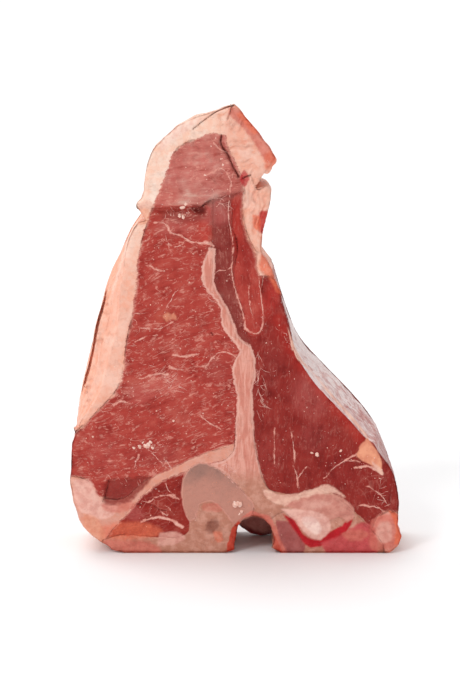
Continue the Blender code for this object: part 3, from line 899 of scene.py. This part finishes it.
def centred(t, value):
    return t.math("SUBTRACT", value, 0.5)


def leanShade(t, place, grainVector, base):
    blotch = t.noise(place, 0.10, 3, 0.55)
    clump = t.noise(t.scaled(grainVector, (0.10, 0.36, 0.30)), 1.0, 3, 0.6, 0.5)
    thread = t.noise(t.scaled(grainVector, (0.30, 1.5, 1.1)), 1.0, 3, 0.6, 0.3)
    shade = t.plus(t.times(blotch, 0.50), t.times(clump, 0.34), t.times(thread, 0.16))
    cloud = t.span(t.noise(place, 0.045, 3, 0.6), 0.50, 0.70)
    base = t.mix(t.times(cloud, 0.5), base, t.tinted(base, (1.12, 1.9, 1.95)))
    lean = t.mix(t.span(shade, 0.34, 0.52), t.tinted(base, (0.68, 0.40, 0.38)), base)
    return t.mix(t.span(shade, 0.50, 0.66), lean, t.tinted(base, (1.18, 1.85, 1.85))), shade


def marbleShare(t, place, grainVector):
    broken = t.noise(place, 0.30, 3, 0.65)
    long = t.contour(t.scaled(grainVector, (0.065, 0.22, 0.25)), 1.0, 3, 0.6, 1.0)
    long = t.times(t.span(long, 0.034, 0.008), t.span(broken, 0.44, 0.58))
    short = t.contour(t.scaled(grainVector, (0.17, 0.42, 0.45)), 1.2, 2, 0.55, 1.5)
    short = t.times(t.span(short, 0.040, 0.010), t.span(t.noise(place, 0.18, 2, 0.5), 0.52, 0.62), 0.75)
    dashes = t.noise(t.scaled(grainVector, (0.28, 1.05, 0.9)), 1.0, 2, 0.6, 0.8)
    low = t.math("SUBTRACT", 0.712, t.times(t.attribute("streaks"), 0.17))
    dashes = t.times(t.span(t.math("SUBTRACT", dashes, low), 0.0, 0.06), 0.85)
    lines = t.math("MAXIMUM", t.math("MAXIMUM", long, short), dashes)
    lines = t.times(lines, t.attribute("marbling"))
    net = t.times(t.span(t.cellEdge(place, 0.16), 0.055, 0.015), t.attribute("net"), 0.8)
    net = t.times(net, t.span(broken, 0.34, 0.5))
    return t.math("MAXIMUM", lines, net)


def surface(t, colour, roughness, height, finish):
    shader = t.add("ShaderNodeBsdfPrincipled")
    t.link(colour, shader.inputs["Base Color"])
    t.link(roughness, shader.inputs["Roughness"])
    shader.inputs["Specular IOR Level"].default_value = finish["specular"]
    bump = t.add("ShaderNodeBump")
    bump.inputs["Strength"].default_value = finish["strength"]
    bump.inputs["Distance"].default_value = finish["distance"]
    t.link(height, bump.inputs["Height"])
    t.link(bump.outputs[0], shader.inputs["Normal"])
    output = t.add("ShaderNodeOutputMaterial")
    t.link(shader.outputs[0], output.inputs["Surface"])


def tissueMaterial(name):
    material = bpy.data.materials.new(name)
    t = shaderTree(material)
    place = millimetres(t)
    grainVector = t.attribute("grain", "Vector")
    ragged = centred(t, t.noise(place, 0.60, 4, 0.65))
    feather = centred(t, t.noise(t.scaled(grainVector, (0.13, 0.42, 0.35)), 1.0, 4, 0.66, 0.5))
    fine = centred(t, t.noise(place, 2.2, 3, 0.6))
    broad = t.noise(place, 0.06, 3, 0.55)
    middle = t.noise(place, 0.22, 3, 0.6)

    lean, shade = leanShade(t, place, grainVector, t.attribute("flesh", "Color"))
    marble = marbleShare(t, place, grainVector)
    lean = t.mix(t.times(marble, 0.72), lean, palette["marble"])
    # pale dots painted as glints of wet sheen, more where the meat is marbled
    glintDots = t.span(t.noise(place, 0.75, 2, 0.5), 0.715, 0.75)
    lean = t.mix(t.times(glintDots, 0.75, t.plus(t.times(t.attribute("marbling"), 0.7), 0.3)), lean, palette["glintAndLowRed"])

    # fat: soft stripes along the rind, faint cells on the cut
    outside = t.attribute("outside")
    fatBase = t.attribute("fat", "Color")
    fat = t.mix(t.span(middle, 0.36, 0.62), t.tinted(fatBase, (1.0, 0.86, 0.80)), fatBase)
    fat = t.mix(t.span(broad, 0.50, 0.66), fat, t.tinted(fatBase, (1.04, 1.12, 1.16)))
    stripe = t.noise(t.scaled(place, (0.05, 0.34, 0.035)), 1.0, 4, 0.55, 0.5)
    fat = t.mix(t.times(t.span(stripe, 0.46, 0.66), outside, 0.42), fat, palette["fatAmber"])
    hairline = t.span(t.contour(t.scaled(place, (0.05, 0.20, 0.035)), 1.0, 3, 0.6, 0.8), 0.010, 0.002)
    fat = t.mix(t.times(hairline, outside, 0.22), fat, (0.70, 0.22, 0.11))
    cell = t.span(t.cellEdge(place, 0.28), 0.10, 0.0)
    fat = t.mix(t.times(cell, 0.14), fat, palette["fatAmber"])

    # bone: pale porous lower part, pink layered stem
    pores = t.span(t.noise(place, 1.1, 3, 0.7), 0.60, 0.72)
    bone = t.mix(t.span(middle, 0.40, 0.64), palette["bone"], palette["bonePale"])
    bone = t.mix(t.times(pores, 0.35), bone, palette["boneRed"])
    high = t.add("ShaderNodeSeparateXYZ")
    t.link(place, high.inputs[0])
    layers = t.noise(t.scaled(place, (0.55, 0.2, 0.07)), 1.0, 4, 0.6, 0.6)
    stem = t.mix(t.span(layers, 0.40, 0.62), palette["stem"], palette["stemPale"])
    stemShare = t.span(t.plus(high.outputs["Z"], t.times(ragged, 8.0)), 40.0, 54.0)
    bone = t.mix(stemShare, bone, stem)
    cloudy = t.times(t.noise(place, 0.09, 3, 0.5), 0.8)
    gristleTone = t.plus(cloudy, t.times(t.span(high.outputs["Z"], 60.0, 22.0), 0.55))
    gristle = t.mix(t.span(gristleTone, 0.30, 0.85), palette["gristle"], palette["gristlePale"])
    specks = t.times(t.span(t.noise(place, 0.9, 2, 0.5), 0.69, 0.74), 0.6)
    gristle = t.mix(specks, gristle, palette["fatAmber"])

    fatEdge = t.plus(t.attribute("fatEdge"), t.times(ragged, 2.4), t.times(feather, 4.2))
    boneEdge = t.plus(t.attribute("boneEdge"), t.times(ragged, 1.6), t.times(feather, 2.2, stemShare))
    gristleEdge = t.plus(t.attribute("gristleEdge"), t.times(ragged, 0.7))
    veinEdge = t.plus(t.attribute("veinEdge"), t.times(ragged, 1.8), t.times(centred(t, middle), 1.6), 0.12)
    colour = t.mix(t.times(t.span(veinEdge, 0.30, -0.25), 0.85), lean, palette["marble"])
    colour = t.mix(t.times(t.span(veinEdge, -0.25, -0.70), 0.8), colour, palette["fleck"])
    # a thin pale line of connective tissue beside the fat
    colour = t.mix(t.times(t.band(t.plus(fatEdge, -0.5), 0.7, 0.1), 0.45), colour, palette["marble"])
    colour = t.mix(t.span(fatEdge, 0.35, -0.35), colour, fat)
    colour = t.mix(t.span(boneEdge, 0.35, -0.35), colour, bone)
    rim = t.times(t.band(t.plus(boneEdge, 0.7), 0.9, 0.2), stemShare, 0.55)
    colour = t.mix(rim, colour, palette["fleck"])
    colour = t.mix(t.span(gristleEdge, 0.3, -0.3), colour, gristle)
    colour = t.mix(t.times(t.band(gristleEdge, 0.8, 0.2), 0.55), colour, palette["stemPale"])
    # silver skin over the tenderloin's outer side
    veil = t.noise(t.scaled(place, (0.22, 0.25, 0.07)), 1.0, 4, 0.6, 0.8)
    red = t.plus(veil, t.times(t.span(high.outputs["Z"], 118.0, 66.0), 0.16))
    silver = t.mix(t.times(t.span(red, 0.47, 0.80), 0.85), palette["silver"], palette["silverRed"])
    creases = t.contour(t.scaled(place, (0.2, 0.3, 0.1)), 1.0, 2, 0.5, 0.8)
    silver = t.mix(t.times(t.span(creases, 0.02, 0.005), 0.5), silver, palette["fleck"])
    colour = t.mix(t.times(t.attribute("silver"), 0.92), colour, silver)
    share = t.attribute("paintShare")
    rough = t.times(ragged, t.times(share, t.math("SUBTRACT", 1.0, share)), paintNoise)
    mottle = t.mix(t.span(middle, 0.36, 0.62), (0.90, 0.80, 0.80), (1.05, 1.1, 1.1))
    paint = t.tinted(t.attribute("paint", "Color"), mottle)
    colour = t.mix(t.math("ADD", share, rough, clamp=True), colour, paint)
    # dark colour painted along the cracks as their shade
    colour = t.mix(t.times(t.span(t.plus(t.attribute("crackEdge"), t.times(ragged, 0.6)), 0.35, -0.2), 0.85),
                   colour, palette["crack"])
    # a faint pale speckle painted over every tissue as sheen
    colour = t.mix(t.times(t.span(fine, 0.10, 0.3), 0.05), colour, palette["glintAndLowRed"])

    soft = t.math("SUBTRACT", 1.0, t.span(t.attribute("fatEdge"), 0.35, -0.35))
    grainBump = t.times(t.plus(t.times(shade, 0.8), t.times(fine, 0.3)), soft)
    height = t.plus(grainBump, t.times(ragged, 0.30), t.times(marble, 0.15), t.times(middle, 0.5))
    roughness = t.span(t.noise(place, 0.35, 3, 0.6), 0.35, 0.65, 0.26, 0.50)
    surface(t, colour, roughness, height, {"specular": 0.16, "strength": 0.85, "distance": 0.0009})
    return material


def crumbMaterial(name, first, second):
    material = bpy.data.materials.new(name)
    t = shaderTree(material)
    place = millimetres(t)
    colour = t.mix(t.span(t.noise(place, 0.5, 3, 0.6), 0.38, 0.62), first, second)
    roughness = t.span(t.noise(place, 1.5, 2, 0.5), 0.3, 0.7, 0.3, 0.5)
    height = t.noise(place, 2.0, 3, 0.6)
    surface(t, colour, roughness, height, {"specular": 0.5, "strength": 0.5, "distance": 0.0004})
    return material


finishes = {kind: tissueMaterial("raw " + kind) for kind in ("lean", "fat", "bone", "gristle")}
finishes["crumb"] = crumbMaterial("fat crumbs", (0.86, 0.48, 0.38), (0.93, 0.66, 0.56))
finishes["strand"] = crumbMaterial("pale fibres", (0.74, 0.33, 0.27), (0.88, 0.52, 0.44))


def newPiece(name, mesh, finish):
    piece = bpy.data.objects.new("steak_" + name, mesh)
    bpy.context.scene.collection.objects.link(piece)
    piece.data.materials.clear()
    piece.data.materials.append(finishes[finish])
    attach(piece, "root")
    print("made", piece.name, sum(len(polygon.vertices) - 2 for polygon in mesh.polygons), "triangles")
    return piece


for name in names:
    mesh, points = shapedPiece(name)
    painted(mesh, points)
    kind = tissues[name]["kind"]
    piece = newPiece(name, mesh, kind)
    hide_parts(name)


# the flap of tissue that hangs in the canal's far mouth
hangingLobe = {
    "middle": (12.0, 15.0, 11.5), "half": (15.0, 6.5, 11.0), "cuts": 5, "lumps": 1.1, "slope": 0.32,
    "colour": (0.50, 0.20, 0.17), "glintAndLowRed": (0.24, 0.012, 0.014),
}


def lobePiece():
    mesh = bmesh.new()
    bmesh.ops.create_icosphere(mesh, subdivisions=hangingLobe["cuts"], radius=1)
    data = bpy.data.meshes.new("lobe")
    mesh.to_mesh(data)
    mesh.free()
    unit = coordinates(data) * mm
    points = unit * hangingLobe["half"] + hangingLobe["middle"]
    points += unit * (hangingLobe["lumps"] * layeredNoise(*points.T, 5, 61))[:, None]
    below = np.maximum(-unit[:, 2], 0)
    points[:, 2] -= below * hangingLobe["slope"] * (points[:, 0] - hangingLobe["middle"][0])
    points[:, 2] = np.maximum(points[:, 2], 0.4)
    setCoordinates(data, points)
    painted(data, points)
    # the lobe's colour turns dark red toward its lower edge
    share = 0.95 * smoothStep(7.5, 3.5, points[:, 2] + 0.3 * (points[:, 0] - 6) + noise(*points.T, 4, 63))
    base = np.zeros((len(points), 3)) + hangingLobe["colour"]
    data.attributes["paint"].data.foreach_set("vector", blended(base, share, hangingLobe["glintAndLowRed"]).ravel())
    data.attributes["paintShare"].data.foreach_set("value", np.ones(len(points), np.float32))
    return newPiece("canal_lobe", data, "bone")


lobePiece()


# small things that lie on the cut face, made by node trees

def skinPoints(x, z):
    place = Place(x, np.full(len(x), -halfThick + 1.0), z)
    height = frontRelief(place)
    y = -(halfThick - relief["facePlane"] - rimDrop(place) + height)
    return np.stack([x, y, z], axis=1), place


def recipe(name, inputs):
    group = bpy.data.node_groups.new(name, "GeometryNodeTree")
    t = Tree(group)
    group.interface.new_socket("Geometry", in_out="INPUT", socket_type="NodeSocketGeometry")
    for label, kind in inputs:
        group.interface.new_socket(label, in_out="INPUT", socket_type="NodeSocket" + kind)
    group.interface.new_socket("Geometry", in_out="OUTPUT", socket_type="NodeSocketGeometry")
    return t, t.add("NodeGroupInput")


def finished(t, start, geometry):
    smooth = t.fill(t.add("GeometryNodeSetShadeSmooth"), Geometry=geometry)
    solid = t.fill(t.add("GeometryNodeRealizeInstances"), Geometry=smooth.outputs[0])
    dressed = t.fill(t.add("GeometryNodeSetMaterial"), Geometry=solid.outputs[0], Material=start.outputs["Material"])
    output = t.add("NodeGroupOutput")
    t.link(dressed.outputs[0], output.inputs[0])


def grown(data, group, settings, name, finish):
    holder = bpy.data.objects.new("guide", data)
    bpy.context.scene.collection.objects.link(holder)
    modifier = holder.modifiers.new("Grow", "NODES")
    modifier.node_group = group
    for item in group.interface.items_tree:
        if item.in_out == "INPUT" and item.name in settings:
            modifier[item.identifier] = settings[item.name]
        elif item.in_out == "INPUT" and item.name == "Material":
            modifier[item.identifier] = finishes[finish]
    mesh = bpy.data.meshes.new_from_object(holder.evaluated_get(bpy.context.evaluated_depsgraph_get()))
    holder.modifiers.clear()
    bpy.data.objects.remove(holder)
    return newPiece(name, mesh, finish)


threads = {"Radius": 0.00020, "Spacing": 0.0008, "Wander": 0.0014, "sunk": 0.12}


def threadTree():
    t, start = recipe("raised threads", [("Radius", "Float"), ("Spacing", "Float"), ("Wander", "Float"),
                                         ("Material", "Material")])
    even = t.fill(t.add("GeometryNodeResampleCurve", mode="LENGTH"), Curve=start.outputs["Geometry"],
                  Length=start.outputs["Spacing"])
    noise = t.fill(t.add("ShaderNodeTexNoise"), Vector=t.add("GeometryNodeInputPosition").outputs[0], Scale=420.0)
    centre = t.add("ShaderNodeVectorMath", operation="SUBTRACT")
    t.link(noise.outputs["Color"], centre.inputs[0])
    centre.inputs[1].default_value = (0.5, 0.5, 0.5)
    offset = t.add("ShaderNodeVectorMath", operation="SCALE")
    t.link(centre.outputs[0], offset.inputs[0])
    t.link(start.outputs["Wander"], offset.inputs["Scale"])
    moved = t.fill(t.add("GeometryNodeSetPosition"), Geometry=even.outputs[0], Offset=offset.outputs[0])
    # thick in the middle, thin at both ends
    factor = t.add("GeometryNodeSplineParameter").outputs["Factor"]
    taper = t.math("POWER", t.math("SINE", t.times(factor, math.pi)), 0.55)
    swell = t.math("ADD", t.times(noise.outputs["Fac"], 1.2), 0.35)
    ring = t.fill(t.add("GeometryNodeCurvePrimitiveCircle"), Resolution=6, Radius=start.outputs["Radius"])
    body = t.fill(t.add("GeometryNodeCurveToMesh"), Curve=moved.outputs[0], Profile_Curve=ring.outputs[0],
                  Scale=t.math("MAXIMUM", t.times(taper, swell), 0.08), Fill_Caps=True)
    finished(t, start, body.outputs[0])
    return t.tree


def guideCurves(paths):
    data = bpy.data.curves.new("guides", "CURVE")
    data.dimensions = "3D"
    for path in paths:
        spline = data.splines.new("POLY")
        spline.points.add(len(path) - 1)
        spline.points.foreach_set("co", np.column_stack([path * mm, np.ones(len(path))]).astype(np.float32).ravel())
    return data


def veinThreads():
    paths = []
    for vein in veins:
        flat = vein["curve"]
        points, _ = skinPoints(flat[:, 0], flat[:, 1])
        points[:, 1] += threads["sunk"]
        paths.append(points)
    return grown(guideCurves(paths), threadTree(), threads, "fat_threads", "strand")


# loose fibres beside the bone and at the torn edges: where they start, how many, how they lie
fringes = {
    "seed": 11, "Radius": 0.00012, "Spacing": 0.0007, "Wander": 0.0010,
    "rows": [
        # from, to, count, direction in degrees, length
        ((12, 122), (13, 84), 26, -72, 9), ((-9, 148), (-16, 160), 14, 190, 5), ((-1, 106), (2, 70), 14, 200, 4),
        ((-60, 146), (-68, 98), 22, 10, 5), ((-44, 205), (-24, 206), 16, -60, 4), ((-20, 215), (-6, 205), 18, 20, 6),
        ((-52, 112), (-34, 96), 24, 8, 7), ((-50, 60), (-46, 68), 10, 40, 4), ((20, 232), (17, 226), 6, -50, 4),
        ((-75, 46), (-55, 46), 8, -60, 3), ((-14, 56), (4, 46), 12, -30, 5), ((86, 48), (90, 28), 8, 200, 5),
        ((-70, 96), (-88, 78), 12, 30, 4), ((24, 136), (30, 124), 6, -60, 3),
    ],
}


def fringePiece():
    random = np.random.RandomState(fringes["seed"])
    paths = []
    for start, end, count, direction, length in fringes["rows"]:
        for _ in range(count):
            share, angle = random.rand(), math.radians(direction + random.normal(0, 14))
            reach, bend = length * random.uniform(0.4, 1.3), random.normal(0, 0.55)
            steps = np.linspace(0, 1, 7)
            turn = angle + bend * steps
            x = start[0] + (end[0] - start[0]) * share + random.normal(0, 1.6) + reach * steps * np.cos(turn)
            z = start[1] + (end[1] - start[1]) * share + random.normal(0, 1.6) + reach * steps * np.sin(turn)
            points, place = skinPoints(x, z)
            if place.rim.max() < -0.8:
                paths.append(points)
    return grown(guideCurves(paths), threadTree(), fringes, "loose_fibres", "strand")


crumbs = {
    "seed": 5, "count": 300, "Size": 0.00030, "Uneven": 0.9, "sunk": 0.45,
    # middle and size of the larger bits
    "placed": [
        (-53, 65, 2.5), (-57, 64.5, 1.3), (-60, 64, 1.0), (-50.5, 67.5, 1.1), (-49, 64, 1.2), (-55, 67, 0.9),
        (-33, 200, 1.5), (-31, 199.5, 1.3), (-84, 70.5, 1.0), (0, 31, 2.2), (2, 30, 1.5), (-1.5, 29.5, 1.4),
        (3, 25.5, 1.3), (1.5, 24.2, 0.9), (-47, 86, 0.8), (-37, 80, 0.9), (61, 62, 0.9), (47, 60, 1.3),
        (44, 61, 0.9), (-31, 206, 1.5), (-29, 207.5, 1.0), (-9, 233, 0.9), (-8, 230, 0.8), (-18, 224, 0.9),
    ],
}


def crumbTree():
    t, start = recipe("crumbs", [("Size", "Float"), ("Uneven", "Float"), ("Seed", "Int"), ("Material", "Material")])
    ball = t.fill(t.add("GeometryNodeMeshIcoSphere"), Radius=start.outputs["Size"], Subdivisions=3)
    noise = t.fill(t.add("ShaderNodeTexNoise"), Vector=t.add("GeometryNodeInputPosition").outputs[0], Scale=1700.0)
    push = t.add("ShaderNodeVectorMath", operation="SCALE")
    t.link(t.add("GeometryNodeInputNormal").outputs[0], push.inputs[0])
    t.link(t.times(centred(t, noise.outputs["Fac"]), start.outputs["Uneven"], start.outputs["Size"], 3.0),
           push.inputs["Scale"])
    lump = t.fill(t.add("GeometryNodeSetPosition"), Geometry=ball.outputs[0], Offset=push.outputs[0])
    spots = t.fill(t.add("GeometryNodeMeshToPoints"), Mesh=start.outputs["Geometry"])
    turn = t.add("FunctionNodeRandomValue", data_type="FLOAT_VECTOR")
    turn.inputs[1].default_value = (math.tau, math.tau, math.tau)
    t.link(start.outputs["Seed"], turn.inputs["Seed"])
    size = t.add("GeometryNodeInputNamedAttribute", data_type="FLOAT")
    size.inputs["Name"].default_value = "size"
    flat = t.add("ShaderNodeCombineXYZ")
    t.link(size.outputs[0], flat.inputs[0])
    t.link(t.times(size.outputs[0], 0.75), flat.inputs[1])
    t.link(t.times(size.outputs[0], 0.85), flat.inputs[2])
    placed = t.add("GeometryNodeInstanceOnPoints")
    t.link(spots.outputs[0], placed.inputs["Points"])
    t.link(lump.outputs[0], placed.inputs["Instance"])
    t.link(turn.outputs[0], placed.inputs["Rotation"])
    t.link(flat.outputs[0], placed.inputs["Scale"])
    finished(t, start, placed.outputs[0])
    return t.tree


def crumbPiece():
    random = np.random.RandomState(crumbs["seed"])
    x = random.uniform(lowCorner[0], highCorner[0], crumbs["count"] * 6)
    z = random.uniform(8, steakTop - 10, crumbs["count"] * 6)
    points, place = skinPoints(x, z)
    lean = place.against(ofKind("lean"))
    kept = np.flatnonzero((place.rim < -4) & ((lean < -2) | (random.rand(len(x)) < 0.12)))[:crumbs["count"]]
    sizes = random.uniform(0.5, 1.2, len(kept)) ** 2
    placed = np.array(crumbs["placed"])
    larger, _ = skinPoints(placed[:, 0], placed[:, 1])
    spots = np.concatenate([points[kept], larger])
    radii = np.concatenate([sizes * crumbs["Size"] / mm, placed[:, 2]])
    spots[:, 1] += radii * crumbs["sunk"]
    data = bpy.data.meshes.new("crumb places")
    data.from_pydata([tuple(spot) for spot in spots * mm], [], [])
    storeFloat(data, "size", radii * mm / crumbs["Size"])
    return grown(data, crumbTree(), {**crumbs, "Seed": crumbs["seed"]}, "crumbs", "crumb")


veinThreads()
fringePiece()
crumbPiece()


# floor, light and camera

stage = {
    "floorSize": 60.0, "floorColour": (0.90, 0.90, 0.905), "worldLight": 0.74, "keyLight": 1.22, "keySoftness": 34.0,
    "glint": 0.75, "glintSoftness": 14.0,
    "cameraTilt": 11.0, "cameraAway": 1.2, "lens": 106.0, "sensor": 36.0, "farClip": 20.0,
    "aim": (-0.004, 0.0, 0.1208), "floorRoughness": 0.6,
}


def plainFloor():
    half = stage["floorSize"] / 2
    mesh = bpy.data.meshes.new("floor")
    mesh.from_pydata([(-half, -half, 0), (half, -half, 0), (half, half, 0), (-half, half, 0)], [], [(0, 1, 2, 3)])
    floor = bpy.data.objects.new("floor", mesh)
    bpy.context.scene.collection.objects.link(floor)
    material = bpy.data.materials.new("pale floor")
    material.use_nodes = True
    shader = material.node_tree.nodes["Principled BSDF"]
    shader.inputs["Base Color"].default_value = (*stage["floorColour"], 1)
    shader.inputs["Roughness"].default_value = stage["floorRoughness"]
    mesh.materials.append(material)


def sunLight(name, source, power, softness):
    light = bpy.data.lights.new(name, "SUN")
    light.energy = power
    light.angle = math.radians(softness)
    holder = bpy.data.objects.new(name, light)
    bpy.context.scene.collection.objects.link(holder)
    holder.rotation_euler = (-Vector(source)).to_track_quat("-Z", "Y").to_euler()


def studio():
    world = bpy.data.worlds.new("studio")
    bpy.context.scene.world = world
    world.use_nodes = True
    tree = world.node_tree
    background = tree.nodes["Background"]
    background.inputs["Color"].default_value = (1, 1, 1, 1)
    # the backdrop looks white, and lights the steak less than it looks
    rays = tree.nodes.new("ShaderNodeLightPath")
    strength = tree.nodes.new("ShaderNodeMapRange")
    strength.inputs["To Min"].default_value = stage["worldLight"]
    strength.inputs["To Max"].default_value = 1.0
    tree.links.new(rays.outputs["Is Camera Ray"], strength.inputs["Value"])
    tree.links.new(strength.outputs["Result"], background.inputs["Strength"])
    sunLight("key", (-0.28, 0.20, 0.93), stage["keyLight"], stage["keySoftness"])
    sunLight("glint", (-0.55, -0.62, 0.75), stage["glint"], stage["glintSoftness"])


def camera():
    data = bpy.data.cameras.new("camera")
    data.lens = stage["lens"]
    data.sensor_width = stage["sensor"]
    holder = bpy.data.objects.new("camera", data)
    bpy.context.scene.collection.objects.link(holder)
    tilt = math.radians(stage["cameraTilt"])
    aim = Vector(stage["aim"])
    holder.location = aim + Vector((0, -math.cos(tilt), math.sin(tilt))) * stage["cameraAway"]
    holder.rotation_euler = (aim - holder.location).to_track_quat("-Z", "Y").to_euler()
    data.clip_end = stage["farClip"]
    bpy.context.scene.camera = holder


plainFloor()
studio()
camera()
bpy.context.scene.view_settings.view_transform = "Standard"
bpy.context.scene.view_settings.look = "None"
print("stage ready")
